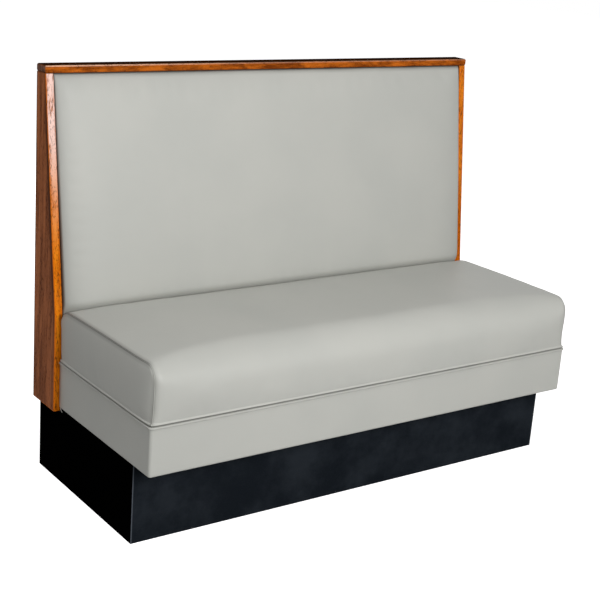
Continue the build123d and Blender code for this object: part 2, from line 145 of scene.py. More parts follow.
def arc(centre, radius, start, end, count):
    """Points on an arc in the side view; angles in degrees from the front, up over the top."""
    points = []
    for k in range(count + 1):
        angle = math.radians(start + (end - start) * k / count)
        points.append(centre + radius * Vector((-math.cos(angle), math.sin(angle))))
    return points


def bend(corner, way_in, way_out, reach, count):
    """Points of a soft bend round a corner, from reach along way_in to reach along way_out."""
    start, end = corner + way_in.normalized() * reach, corner + way_out.normalized() * reach
    shares = even(count)
    return [start.lerp(corner, t).lerp(corner.lerp(end, t), t) for t in shares]


def hump(distance, centre, width):
    """1 at the centre, falling away smoothly on both sides."""
    return math.exp(-((distance - centre) / width) ** 2)


def ripple(place, per_metre):
    """Smooth waves between about -1 and 1, so many per metre, the same in each run."""
    return noise.noise(place * per_metre)


cover_steps, cover_pressure, cover_stiffness = 20, 4, 2
cover_shrink = -0.003               # the cover is cut this share too large
still = 1e-7                        # a point that moves less hasn't moved


def fill_cover(piece, held, reach):
    """Blows a cushion up inside its cover by cloth simulation; held points stay, none goes beyond reach."""
    piece.vertex_groups.new(name="held").add(held, 1.0, "REPLACE")
    cloth = piece.modifiers.new("cover", "CLOTH")
    cloth.settings.vertex_group_mass = "held"
    cloth.settings.use_pressure = True
    cloth.settings.uniform_pressure_force = cover_pressure
    cloth.settings.effector_weights.gravity = 0
    cloth.settings.bending_stiffness = cover_stiffness
    cloth.settings.shrink_min = cover_shrink
    cloth.point_cache.frame_end = cover_steps
    for step in range(1, cover_steps + 1):
        scene.frame_set(step)
    blown = piece.evaluated_get(bpy.context.evaluated_depsgraph_get()).data
    moves = [swollen.co - vert.co for vert, swollen in zip(piece.data.vertices, blown.vertices)]
    for vert, move in zip(piece.data.vertices, moves):
        if move.length > still:
            vert.co += move.normalized() * reach * (1 - math.exp(-move.length / reach))
    piece.modifiers.remove(cloth)
    piece.vertex_groups.clear()
    scene.frame_set(1)


def smooth_finish(piece):
    """One level of subdivision."""
    finish = piece.modifiers.new("smooth", "SUBSURF")
    finish.levels = finish.render_levels = 1


# Seat cushion. Its section has one size at the two ends, and gains more towards the middle.

seat_power, boxing_power = 6, 8     # the higher, the closer to its ends a crown stays full
waterfall_radius, waterfall_gain = 0.034, 0.042
front_bulge, bulge_gain = 0.0034, 0.0036
crown_gain = 0.010
waterfall_rise = 0.003              # top of the waterfall above the crease
top_swell = 0.0015
front_pull, corner_setback, corner_width = 0.0055, 0.0060, 0.009
lift_share, pull_share, setback_share = 0.08, 0.10, 0.05
boxing_puff, puff_margin, puff_foot = 0.0060, 0.018, 0.004
skin_depth, skin_height = 0.42, 0.12
held_height = 0.013                 # vinyl above the riser that the seam holds
foot_rows = (0.0008, 0.0016, 0.0024, 0.0033, 0.0044, 0.0060, 0.0085, 0.0125)
seat_columns, seat_rows = 106, 38
seam_round = 0.0035                 # bevel along the side seams
groove_depth, groove_width = 0.0022, 0.0008
front_ease, front_fade = 0.4, 0.6   # what the groove loses in depth and in shade where it faces forwards
ridge_height, ridge_gap, ridge_width = 0.0022, 0.0025, 0.0012
roll_height, roll_rise, roll_width = 0.0036, 0.0034, 0.0014
tuck_depth, tuck_width, tuck_shade = 0.0030, 0.0013, 0.0016
stitch_dip, dip_rise, dip_width = 0.0006, 0.0066, 0.0012
roll_top, ease_height = 0.02, 0.012
crinkle_height, crinkle_reach, wave_height = 0.0005, 0.02, 0.0006


def shoulder_point(share, top, roundness):
    """Y and Z on the seat's rear shoulder: from the crease at height top down to the end panels."""
    angle = share * math.pi / 2
    fall = roundness * (1 - math.cos(angle)) + (1 - roundness) * math.sin(angle)
    return crease_y + (seat_rear - crease_y) * math.sin(angle), top - (top - shoulder_z) * fall


def seat_section(fullness):
    """Side view of the seat cushion in four lines: front, over, rear and bottom."""
    radius = waterfall_radius + waterfall_gain * fullness
    bulge = front_bulge + bulge_gain * fullness
    top = side_top + crown_gain * fullness
    centre = Vector((riser_front - bulge + radius, top + waterfall_rise - radius))
    front = []
    for share in even(16):
        y = riser_front - bulge * math.sin(share * math.pi / 2) ** 0.7
        front.append(Vector((y, seam_z + (centre.y - seam_z) * share)))
    front += arc(centre, radius, 0, 45, 12)[1:]
    over = arc(centre, radius, 45, 90, 12)
    crease = Vector((crease_y, top))
    start = over[-1]
    for share in even(20)[1:]:
        over.append(start.lerp(crease, share) + Vector((0, top_swell * math.sin(share * math.pi))))
    for share in even(10)[1:]:
        over.append(Vector(shoulder_point(share, top, 1 - fullness)))
    rear_foot = Vector((seat_rear, seam_z))
    return front, over, [rear_foot, over[-1]], [Vector((riser_front, seam_z)), rear_foot]


def seat_shape(share):
    """Place on the cushion's skin for the shares (across, back, up) of its cube."""
    u, v, w = share
    across = 2 * u - 1
    spot = span(seat_section(1 - abs(across) ** seat_power), v, w)
    lifted = 1 - math.exp(-w / lift_share)
    pull = front_pull * hump(v, 0, pull_share) * lifted
    setback = corner_setback * hump(1 - abs(across), 0, corner_width) * hump(v, 0, setback_share) * lifted
    side = 0.0
    if u in (0, 1):
        side = boxing_puff
        for to_edge in (v * skin_depth, (1 - w) * skin_height, w * skin_height + puff_foot):
            side *= 1 - math.exp(-to_edge / puff_margin)
        side *= 1 - v ** boxing_power
    return Vector((across * (seat_half - pull) + math.copysign(side, across), spot.x + setback, spot.y))


def build_seat():
    """The seat's block, and the points of its side seams and of all that is sewn or stapled down."""
    rise = side_top - seam_z
    rows = [0] + [row / rise for row in foot_rows]
    rows += [rows[-1] + (1 - rows[-1]) * share for share in even(10)[1:]]
    bm = block_grid(even(seat_columns), even(seat_rows), rows)
    sewn = bm.verts.layers.int.new("sewn")
    held = []
    for vert in bm.verts:
        u, v, w = vert.co
        vert[sewn] = u in (0, 1) and (v == 0 or w == 1)
        if vert[sewn] or v == 1 or w * rise < held_height:
            held.append(vert.index)
        vert.co = seat_shape(vert.co)
    bmesh.ops.recalc_face_normals(bm, faces=bm.faces)
    return bm, held


def along_skin(gap):
    """Distance along the skin from the middle of the rounded seam; gap is that from its sharp edge."""
    # A quarter round's middle is 0.414 of its radius from the sharp edge, and its half is 0.785 long
    if gap < seam_round:
        return (gap - 0.414 * seam_round) * 1.34
    return gap - 0.215 * seam_round


def finish_seat(piece):
    """Rounds the side seams, then folds the vinyl along them and along the seam over the riser, and paints
    shade into the seam groove and the tuck over the riser.
    """
    bm = bmesh.new()
    bm.from_mesh(piece.data)
    sewn = bm.verts.layers.int["sewn"]
    seams = [e for e in bm.edges if e.verts[0][sewn] and e.verts[1][sewn]]
    per_edge = 12
    dots = KDTree(len(seams) * per_edge)
    for k, edge in enumerate(seams):
        for step in range(per_edge):
            dots.insert(edge.verts[0].co.lerp(edge.verts[1].co, step / per_edge), k * per_edge + step)
    dots.balance()
    bmesh.ops.bevel(bm, geom=seams, offset=seam_round, segments=8, profile=0.5, affect="EDGES", material=-1,
                    clamp_overlap=True)
    bm.normal_update()
    painted_shade = bm.verts.layers.float.new("painted_shade")
    for vert in bm.verts:
        out = Vector((vert.normal.x, vert.normal.y, 0))
        rise = vert.co.z - seam_z
        if out.length < 0.5 and rise < 0.001 or vert.normal.y > 0.8:
            continue                # bottom and rear lie against the box
        flat = along_skin(dots.find(vert.co)[2])
        puckers = 1 + 0.5 * ripple(vert.co, 38)
        facing = min(max(-vert.normal.y, 0) / 0.6, 1)
        groove = hump(flat, 0, groove_width)
        lift = -groove_depth * (1 - front_ease * facing) * groove
        lift += ridge_height * puckers * hump(flat, ridge_gap, ridge_width)
        lift += crinkle_height * ripple(vert.co, 50) * math.exp(-flat / crinkle_reach)
        lift += wave_height * ripple(vert.co, 8)
        # painted shade: darkens the vinyl in the seam groove (less where it faces forwards) and in the tuck
        # just over the riser
        vert[painted_shade] = max((1 - front_fade * facing) * groove, hump(rise, 0, tuck_shade))
        vert.co += vert.normal * lift * min(rise / ease_height, 1)
        if rise < roll_top:
            roll = roll_height * hump(rise, roll_rise, roll_width) - tuck_depth * hump(rise, 0, tuck_width)
            vert.co += out.normalized() * (roll - stitch_dip * hump(rise, dip_rise, dip_width))
    bm.to_mesh(piece.data)
    bm.free()


# Back cushion

back_power = 10
tuck_reach = 0.018                  # how far its ends reach in front of the panels' line at the crease
board_gap = 0.0155                  # from the panels' line to the sloping board
nose_reach, brow_reach, brow_setback = 0.014, 0.006, 0.006
belly_depth, belly_gain = 0.002, 0.001
edge_radius, held_margin = 0.005, 0.022
edge_tuck, tuck_margin, tuck_fall = 0.009, 0.015, 0.018
side_shade, side_fade = 0.26, 0.018
top_shade, top_fade = 0.17, 0.022
edge_line, back_wave = 0.0016, 0.0007
back_columns, back_rows = 96, 52
side_steps = (0.001, 0.003, 0.006, 0.010, 0.015, 0.022, 0.031, 0.042)


def back_section(fullness):
    """Side view of the back cushion in four lines: front, over, rear and bottom."""
    top = back_high.z
    end_low = panel_line(crease_z) - tuck_reach
    low = end_low + (crease_y - end_low) * fullness
    far = (low - crease_y) / (seat_rear - crease_y)
    straight = crease_z - (low - crease_y) * seat_slope
    rounded = crease_z - (crease_z - shoulder_z) * (1 - math.sqrt(1 - far ** 2))
    corner = Vector((low, straight + (rounded - straight) * (1 - fullness)))
    high = Vector((panel_line(top) - brow_setback, top))
    nose = bend(corner, Vector((1, -seat_slope)), high - corner, nose_reach, 12)
    brow = bend(high, corner - high, Vector((1, 0)), brow_reach, 12)
    belly = belly_depth + belly_gain * fullness
    front = nose[6:]
    for share in even(40)[1:]:
        front.append(nose[-1].lerp(brow[0], share) - Vector((belly * (1 - (2 * share - 1) ** 2), 0)))
    front += brow[1:7]
    over = brow[6:] + [Vector((panel_line(top) + board_gap, top))]
    drop = (panel_line(crease_z) + board_gap - crease_y) * seat_slope
    low_z = crease_z - drop / (1 + lean * seat_slope)
    rear_foot = Vector((panel_line(low_z) + board_gap, low_z))
    return front, over, [rear_foot, over[-1]], nose[6::-1] + [rear_foot]


def build_back():
    """The back's block, and the points that its edges and its board hold."""
    half = back_high.x
    bm = block_grid(graded(back_columns, 2 * half, side_steps), [0, 0.5, 1], even(back_rows))
    held = []
    for vert in bm.verts:
        u, v, w = vert.co
        across = 2 * u - 1
        edge = half * (1 - abs(across))
        if v > 0 or edge < held_margin or w in (0, 1):
            held.append(vert.index)
        spot = span(back_section(1 - abs(across) ** back_power), v, w)
        rolled = 0
        if edge < edge_radius:
            rolled = edge_radius - math.sqrt(edge_radius ** 2 - (edge_radius - edge) ** 2)
        drop = back_high.z - spot.y
        tucked = 1 - (1 - math.exp(-edge / tuck_margin)) * (1 - math.exp(-drop / tuck_fall))
        vert.co = Vector((across * half, spot.x + (rolled + edge_tuck * tucked) * (1 - v), spot.y))
    bmesh.ops.recalc_face_normals(bm, faces=bm.faces)
    return bm, held


def finish_back(piece):
    """Faint waves of the vinyl over the foam, and painted shade along its edges and below its top, stronger
    on the left.
    """
    bm = bmesh.new()
    bm.from_mesh(piece.data)
    bm.normal_update()
    painted_shade = bm.verts.layers.float.new("painted_shade")
    for vert in bm.verts:
        if vert.normal.y < -0.5:
            vert.co += vert.normal * back_wave * ripple(vert.co, 7)
        edge, drop = vert.co.x + back_high.x, back_high.z - vert.co.z
        # painted shade beside the left end panel, and below the cap, stronger towards the left, where these
        # shade the cushion; plus a thin painted dark line along its edges
        shade = side_shade * math.exp(-edge / side_fade)
        towards_left = 0.5 - 0.8 * vert.co.x
        shade += top_shade * math.exp(-drop / top_fade) * towards_left
        line = hump(min(edge, back_high.x - vert.co.x, drop), 0, edge_line)
        vert[painted_shade] = max(line, shade)
    bm.to_mesh(piece.data)
    bm.free()


# Riser band

riser_radius = 0.006                # its two front corners, seen from above
riser_clearance, vinyl_thickness = 0.0001, 0.0012
band_shade, band_wave = 0.0017, 0.0005
lip_short, lip_depth, lip_thickness = 0.012, 0.0185, 0.0013
lip_middle, lip_drop, lip_round = 0.0115, 0.00085, 0.0005


def riser_path():
    """Points round the riser with their outward directions, from the left rear to the right rear."""
    radius = riser_radius
    path = []
    for share in even(39):
        y = seat_rear + (riser_front + radius - seat_rear) * share
        path.append((Vector((-seat_half, y)), Vector((-1, 0))))
    for share in even(8)[1:-1]:
        angle = math.pi + share * math.pi / 2
        way = Vector((math.cos(angle), math.sin(angle)))
        path.append((Vector((-seat_half + radius, riser_front + radius)) + way * radius, way))
    mirrored = [(Vector((-spot.x, spot.y)), Vector((-way.x, way.y))) for spot, way in path]
    for share in even(110):
        path.append((Vector(((seat_half - radius) * (2 * share - 1), riser_front)), Vector((0, -1))))
    return path + mirrored[::-1]


def build_riser():
    """The band round the riser: rolled at the seam, flat, and turned in at its foot."""
    # Outwards and up from the seam, in millimetres
    rolled = [(-3.4, -0.4), (-2.9, -0.7), (-1.6, -1.2), (0.4, -1.8), (2.3, -2.5), (2.9, -3.4), (2.5, -4.4),
              (1.3, -5.4), (0.2, -6.6), (0, -9)]
    plain = [(0, -9 - 9 * k) for k in range(1, 11)]
    foot = [(0, -105), (0, -108.6), (-0.25, -110), (-0.9, -111.1), (-1.9, -111.7), (-3.2, -111.9)]
    profile = rolled + plain + foot
    path = riser_path()
    bm = bmesh.new()
    bmesh.ops.create_grid(bm, x_segments=len(path) - 1, y_segments=len(profile) - 1, size=0.5)
    painted_shade = bm.verts.layers.float.new("painted_shade")
    for vert in bm.verts:
        spot, way = path[round((vert.co.x + 0.5) * (len(path) - 1))]
        out, drop = profile[round((0.5 - vert.co.y) * (len(profile) - 1))]
        wave = band_wave * ripple(Vector((spot.x, spot.y, drop / 1000)), 9)
        place = spot + way * (out / 1000 + riser_clearance + wave)
        # painted shade along the top of the band, just under the seam
        vert[painted_shade] = hump(drop / 1000, 0, band_shade)
        vert.co = Vector((place.x, place.y, seam_z + drop / 1000))
    bm.normal_update()
    bm.faces.ensure_lookup_table()
    if bm.faces[0].normal.dot(bm.faces[0].calc_center_median()) < 0:
        bmesh.ops.reverse_faces(bm, faces=bm.faces)
    bmesh.ops.solidify(bm, geom=bm.faces, thickness=vinyl_thickness)
    lip = bmesh.ops.create_cube(bm, size=1)["verts"]
    bmesh.ops.scale(bm, vec=(2 * seat_half - lip_short, lip_depth, lip_thickness), verts=lip)
    bmesh.ops.translate(bm, vec=(0, riser_front + lip_middle, riser_foot - lip_drop), verts=lip)
    edges = list({edge for vert in lip for edge in vert.link_edges})
    bmesh.ops.bevel(bm, geom=edges, offset=lip_round, segments=2, profile=0.5, affect="EDGES", material=-1)
    return bm


def build_tail():
    """The end of the riser's vinyl that peeps out below the left rear corner."""
    length, sag, root_width, thickness = 0.0125, 0.0072, 0.0024, 0.0009
    from_side, from_rear, overlap, splay = 0.001, 0.004, 0.001, 0.001
    bm = bmesh.new()
    bmesh.ops.create_grid(bm, x_segments=8, y_segments=4, size=0.5)
    for vert in bm.verts:
        s, t = vert.co.x + 0.5, vert.co.y + 0.5
        width = root_width * (1 - 0.4 * s ** 4)
        vert.co = Vector((-seat_half - from_side - splay * s, seat_rear - from_rear - length * s,
                          riser_foot + overlap - sag * s ** 0.8 - width * (1 - t)))
    bmesh.ops.recalc_face_normals(bm, faces=bm.faces)
    bmesh.ops.solidify(bm, geom=bm.faces, thickness=thickness)
    return bm


def build_staples():
    """Staples in the vinyl that is turned under the riser's front."""
    count, pitch, stray, tilt = 29, 0.041, 0.004, 0.25
    length, wire, thickness, rounding = 0.010, 0.0012, 0.0006, 0.0002
    set_in, set_low = 0.0125, 0.0018
    bm = bmesh.new()
    for k in range(count):
        x = (k - count // 2) * pitch + stray * noise.noise(Vector((k * 0.7, 0.3, 0)))
        turn = Matrix.Rotation(tilt * noise.noise(Vector((k * 1.3, 4.1, 0))), 4, "Z")
        place = Matrix.Translation((x, riser_front + set_in, riser_foot - set_low)) @ turn
        bmesh.ops.create_cube(bm, size=1, matrix=place @ Matrix.Diagonal((length, wire, thickness, 1)))
    bmesh.ops.bevel(bm, geom=bm.edges, offset=rounding, segments=1, profile=0.5, affect="EDGES", material=-1)
    return bm


def build_threads(seat, riser):
    """Topstitches along both sides of the seam over the riser, laid on the vinyl."""
    pitch, from_seam, clear = 0.0041, 0.0056, 0.02
    half_length, half_rise, half_width = 0.0016, 0.00030, 0.00036
    size = Matrix.Diagonal((half_length, half_rise, half_width, 1))
    threads = bmesh.new()
    path = riser_path()
    run_mesh = bpy.data.meshes.new("stitch_run")
    for skin, height in ((seat, from_seam), (riser, -from_seam)):
        corners = [vert.co for vert in skin.data.vertices]
        tree = BVHTree.FromPolygons(corners, [face.vertices for face in skin.data.polygons])
        left = 0.0
        for (spot, way), (ahead, _) in zip(path, path[1:]):
            bm = bmesh.new()
            run = (ahead - spot).length
            heading = Vector((ahead.x - spot.x, ahead.y - spot.y, 0)).normalized()
            while left < run:
                foot = spot.lerp(ahead, left / run)
                left += pitch
                start = Vector((foot.x + way.x * clear, foot.y + way.y * clear, seam_z + height))
                hit, normal = tree.ray_cast(start, Vector((-way.x, -way.y, 0)))[:2]
                if hit is None:
                    continue
                turn = Matrix((heading, normal, normal.cross(heading))).transposed().to_4x4()
                bmesh.ops.create_uvsphere(bm, u_segments=6, v_segments=4, radius=1,
                                          matrix=Matrix.Translation(hit) @ turn @ size)
            left -= run
            bm.to_mesh(run_mesh)
            bm.free()
            threads.from_mesh(run_mesh)
    bpy.data.meshes.remove(run_mesh)
    return threads


# Node trees

def put(tree, kind, sockets=None, **settings):
    """Adds a shader node; sockets maps its inputs to values or to the outputs that feed them."""
    made = tree.nodes.new("ShaderNode" + kind)
    for name, value in settings.items():
        setattr(made, name, value)
    for name, value in (sockets or {}).items():
        if isinstance(value, bpy.types.NodeSocket):
            tree.links.new(value, made.inputs[name])
        else:
            made.inputs[name].default_value = value
    return made


def sums(tree, operation, first, second=0.0, clamp=False):
    """Output of one math node."""
    return put(tree, "Math", {0: first, 1: second}, operation=operation, use_clamp=clamp).outputs[0]


def vectors(tree, operation, first, second):
    """Output of one vector math node."""
    return put(tree, "VectorMath", {0: first, 1: second}, operation=operation).outputs[0]


def ramp(tree, value, low, high, to_low=0.0, to_high=1.0):
    """Value spread smoothly from the range low-high to the range to_low-to_high."""
    spread = put(tree, "MapRange", {"Value": value, "From Min": low, "From Max": high, "To Min": to_low,
                                    "To Max": to_high}, interpolation_type="SMOOTHSTEP")
    return spread.outputs[0]


def tint(tree, mask, under, over):
    """Colour over laid on colour under by a mask."""
    mix = put(tree, "Mix", {0: mask}, data_type="RGBA")
    for socket, colour in ((mix.inputs[6], under), (mix.inputs[7], over)):
        if isinstance(colour, bpy.types.NodeSocket):
            tree.links.new(colour, socket)
        else:
            socket.default_value = (*colour, 1)
    return mix.outputs[2]


def effect(name, inputs, outputs):
    """An empty node group with named sockets; gives its tree, its input outlets and its output inlets."""
    tree = bpy.data.node_groups.new(name, "ShaderNodeTree")
    for socket, kind, value in inputs:
        made = tree.interface.new_socket(socket, in_out="INPUT", socket_type="NodeSocket" + kind)
        made.default_value = value
    for socket, kind in outputs:
        tree.interface.new_socket(socket, in_out="OUTPUT", socket_type="NodeSocket" + kind)
    return tree, tree.nodes.new("NodeGroupInput").outputs, tree.nodes.new("NodeGroupOutput").inputs


def use(tree, group, **sockets):
    """Places a node group; socket names have underscores for spaces."""
    made = put(tree, "Group", node_tree=group)
    for name, value in sockets.items():
        socket = made.inputs[name.replace("_", " ")]
        if isinstance(value, bpy.types.NodeSocket):
            tree.links.new(value, socket)
        else:
            socket.default_value = value
    return made.outputs


def new_material(name, roughness, **constants):
    """A material with one Principled shader; gives it, its tree, the shader and the Object coordinates."""
    material = bpy.data.materials.new(name)
    material.use_nodes = True
    tree = material.node_tree
    shader = tree.nodes["Principled BSDF"]
    shader.inputs["Roughness"].default_value = roughness
    for socket, value in constants.items():
        shader.inputs[socket.replace("_", " ")].default_value = value
    place = put(tree, "TexCoord").outputs["Object"]
    return material, tree, shader, place


# Effects that several finishes share

def build_oak_figure():
    """Grain along local X: rings, fibres and open pores."""
    tree, given, result = effect(
        "oak_figure",
        [("Vector", "Vector", (0, 0, 0)), ("Ring Width", "Float", 0.02), ("Pore Length", "Float", 0.012)],
        [("Tone", "Float"), ("Pores", "Float"), ("Height", "Float")])
    squeezed = vectors(tree, "MULTIPLY", given["Vector"], (0.09, 1, 1))
    wander = put(tree, "TexNoise", {"Vector": squeezed, "Scale": 7.0, "Detail": 2.0}).outputs[0]
    shift = put(tree, "VectorMath", {0: wander, "Scale": 0.09}, operation="SCALE").outputs[0]
    bent = vectors(tree, "ADD", squeezed, shift)
    ring_scale = sums(tree, "DIVIDE", 1.0, given["Ring Width"])
    rings = put(tree, "TexNoise", {"Vector": bent, "Scale": ring_scale, "Detail": 3.0,
                                   "Roughness": 0.6}).outputs[0]
    fibre_place = vectors(tree, "MULTIPLY", given["Vector"], (14, 650, 650))
    fibres = put(tree, "TexNoise", {"Vector": fibre_place, "Scale": 1.0, "Detail": 2.0}).outputs[0]
    pore_scale = sums(tree, "DIVIDE", 1.0, given["Pore Length"])
    pore_place = vectors(tree, "MULTIPLY", given["Vector"], (1, 9, 9))
    specks = put(tree, "TexNoise", {"Vector": pore_place, "Scale": pore_scale, "Detail": 1.0}).outputs[0]
    crowd = ramp(tree, rings, 0.42, 0.62, 0.04, -0.04)
    pores = ramp(tree, sums(tree, "ADD", specks, crowd), 0.58, 0.68)
    tone = sums(tree, "ADD", sums(tree, "MULTIPLY", ramp(tree, rings, 0.30, 0.70), 0.65),
                sums(tree, "MULTIPLY", ramp(tree, fibres, 0.25, 0.75), 0.35))
    tree.links.new(tone, result["Tone"])
    tree.links.new(pores, result["Pores"])
    tree.links.new(sums(tree, "SUBTRACT", sums(tree, "MULTIPLY", fibres, 0.3), pores), result["Height"])
    return tree


def build_rounded_edges():
    """Masks of a board's faces (front, ends, top) and of the rounded edges where one turns into the next."""
    tree, given, result = effect(
        "rounded_edges", [("Sharpness", "Float", 3.0)],
        [("Edge", "Float"), ("Front", "Float"), ("Ends", "Float"), ("Up", "Float"), ("Brow", "Float")])
    normal = put(tree, "NewGeometry").outputs["Normal"]
    parts = put(tree, "SeparateXYZ", {0: normal}).outputs
    sizes = [sums(tree, "ABSOLUTE", parts[k]) for k in range(3)]
    side = sums(tree, "MULTIPLY", sizes[0], sizes[1])
    over = sums(tree, "MULTIPLY", sums(tree, "SUBTRACT", sizes[1], 0.14), sizes[2])
    end = sums(tree, "MULTIPLY", sizes[0], sizes[2])
    most = sums(tree, "MAXIMUM", sums(tree, "MAXIMUM", side, over), end)
    tree.links.new(sums(tree, "MULTIPLY", most, given["Sharpness"], True), result["Edge"])
    tree.links.new(ramp(tree, parts[1], -0.5, -0.9), result["Front"])
    tree.links.new(ramp(tree, sizes[0], 0.8, 0.97), result["Ends"])
    tree.links.new(ramp(tree, parts[2], 0.6, 0.95), result["Up"])
    forward = sums(tree, "MAXIMUM", sums(tree, "MULTIPLY", parts[1], -1.0), 0.0)
    brow = sums(tree, "MULTIPLY", forward, parts[2])
    tree.links.new(sums(tree, "MULTIPLY", brow, given["Sharpness"], True), result["Brow"])
    return tree


def build_vinyl_skin():
    """Cloudy tone and fine pebble of upholstery vinyl."""
    tree, given, result = effect(
        "vinyl_skin", [("Vector", "Vector", (0, 0, 0)), ("Pebble Size", "Float", 0.0011)],
        [("Clouds", "Float"), ("Pebble", "Float")])
    clouds = put(tree, "TexNoise", {"Vector": given["Vector"], "Scale": 5.0, "Detail": 3.0}).outputs[0]
    fine = sums(tree, "DIVIDE", 1.0, given["Pebble Size"])
    cells = put(tree, "TexVoronoi", {"Vector": given["Vector"], "Scale": fine}).outputs[0]
    folds = put(tree, "TexNoise", {"Vector": given["Vector"], "Scale": sums(tree, "MULTIPLY", fine, 0.6),
                                   "Detail": 2.0}).outputs[0]
    tree.links.new(clouds, result["Clouds"])
    tree.links.new(sums(tree, "ADD", sums(tree, "MULTIPLY", cells, 0.6), sums(tree, "MULTIPLY", folds, 0.5)),
                   result["Pebble"])
    return tree


def build_fine_dust():
    """Faint blotches and specks, as on a painted or laminated board."""
    tree, given, result = effect(
        "fine_dust", [("Vector", "Vector", (0, 0, 0)), ("Speck Size", "Float", 0.0016)],
        [("Blotches", "Float"), ("Specks", "Float")])
    blotches = put(tree, "TexNoise", {"Vector": given["Vector"], "Scale": 9.0, "Detail": 5.0,
                                      "Roughness": 0.65}).outputs[0]
    grit = put(tree, "TexNoise", {"Vector": given["Vector"], "Detail": 1.0,
                                  "Scale": sums(tree, "DIVIDE", 1.0, given["Speck Size"])}).outputs[0]
    tree.links.new(ramp(tree, blotches, 0.35, 0.7), result["Blotches"])
    tree.links.new(ramp(tree, grit, 0.6, 0.75), result["Specks"])
    return tree


oak_figure = build_oak_figure()
rounded_edges = build_rounded_edges()
vinyl_skin = build_vinyl_skin()
fine_dust = build_fine_dust()


# Finishes

def paint(tree, shader, colour, roughness=None, height=None, relief=0.0):
    """Feeds a shader its colour, and where given its roughness and a bump of the given relief in metres."""
    tree.links.new(colour, shader.inputs["Base Color"])
    if roughness is not None:
        tree.links.new(roughness, shader.inputs["Roughness"])
    if height is not None:
        bump = put(tree, "Bump", {"Height": height, "Distance": relief, "Strength": 1.0})
        tree.links.new(bump.outputs[0], shader.inputs["Normal"])


def build_vinyl():
    """Warm grey vinyl with a fine pebble, darkened with painted shade in its seam grooves, its tucks and
    along the back cushion's edges.
    """
    material, tree, shader, place = new_material("grey_vinyl", 0.45, Specular_IOR_Level=0.28)
    skin = use(tree, vinyl_skin, Vector=place)
    clouds = ramp(tree, skin["Clouds"], 0.3, 0.7)
    colour = tint(tree, clouds, (0.466, 0.470, 0.438), (0.490, 0.491, 0.456))
    painted_shade_mask = put(tree, "Attribute", attribute_name="painted_shade").outputs["Fac"]
    # painted shade: the cushions' shade attribute mixes in near black
    paint(tree, shader, tint(tree, painted_shade_mask, colour, (0.060, 0.055, 0.048)),
          ramp(tree, skin["Pebble"], 0.2, 0.9, 0.41, 0.50), skin["Pebble"], 0.00012)
    return material


def build_thread():
    """Twisted thread of the vinyl's colour."""
    material, tree, shader, place = new_material("grey_thread", 0.6, Specular_IOR_Level=0.2)
    twist = put(tree, "TexWave", {"Vector": place, "Scale": 900.0, "Distortion": 1.0},
                bands_direction="DIAGONAL").outputs["Fac"]
    colour = tint(tree, twist, (0.44, 0.44, 0.41), (0.56, 0.56, 0.52))
    paint(tree, shader, colour, height=twist, relief=0.0001)
    return material


def build_oak(name, turn, shorten, side, front, over, ends):
    """Stained, varnished oak. Turn brings the grain to local X; each face has its dark and light, and these
    hold painted light and shade: a lighter front that is partly painted highlight, a darker top that is
    painted shade.
    """
    material, tree, shader, place = new_material(name, 0.4, Specular_IOR_Level=0.03)
    along_grain = put(tree, "Mapping", {"Vector": place, "Rotation": turn, "Scale": (shorten, 1, 1)})
    figure = use(tree, oak_figure, Vector=along_grain.outputs[0])
    edges = use(tree, rounded_edges)
    colour = tint(tree, figure["Tone"], *side)
    for mask, pair in (("Front", front), ("Up", over), ("Ends", ends)):
        if pair:
            colour = tint(tree, edges[mask], colour, tint(tree, figure["Tone"], *pair))
    return material, tree, shader, place, figure, edges, colour


def finish_oak(tree, shader, figure, edges, colour):
    """Pores, gloss and relief over an oak colour."""
    colour = tint(tree, sums(tree, "MULTIPLY", figure["Pores"], 0.8), colour, (0.030, 0.010, 0.004))
    paint(tree, shader, colour, ramp(tree, figure["Pores"], 0, 1, 0.36, 0.6), figure["Height"], 0.00015)
    tree.links.new(sums(tree, "MULTIPLY", edges["Front"], 0.12), shader.inputs["Coat Weight"])


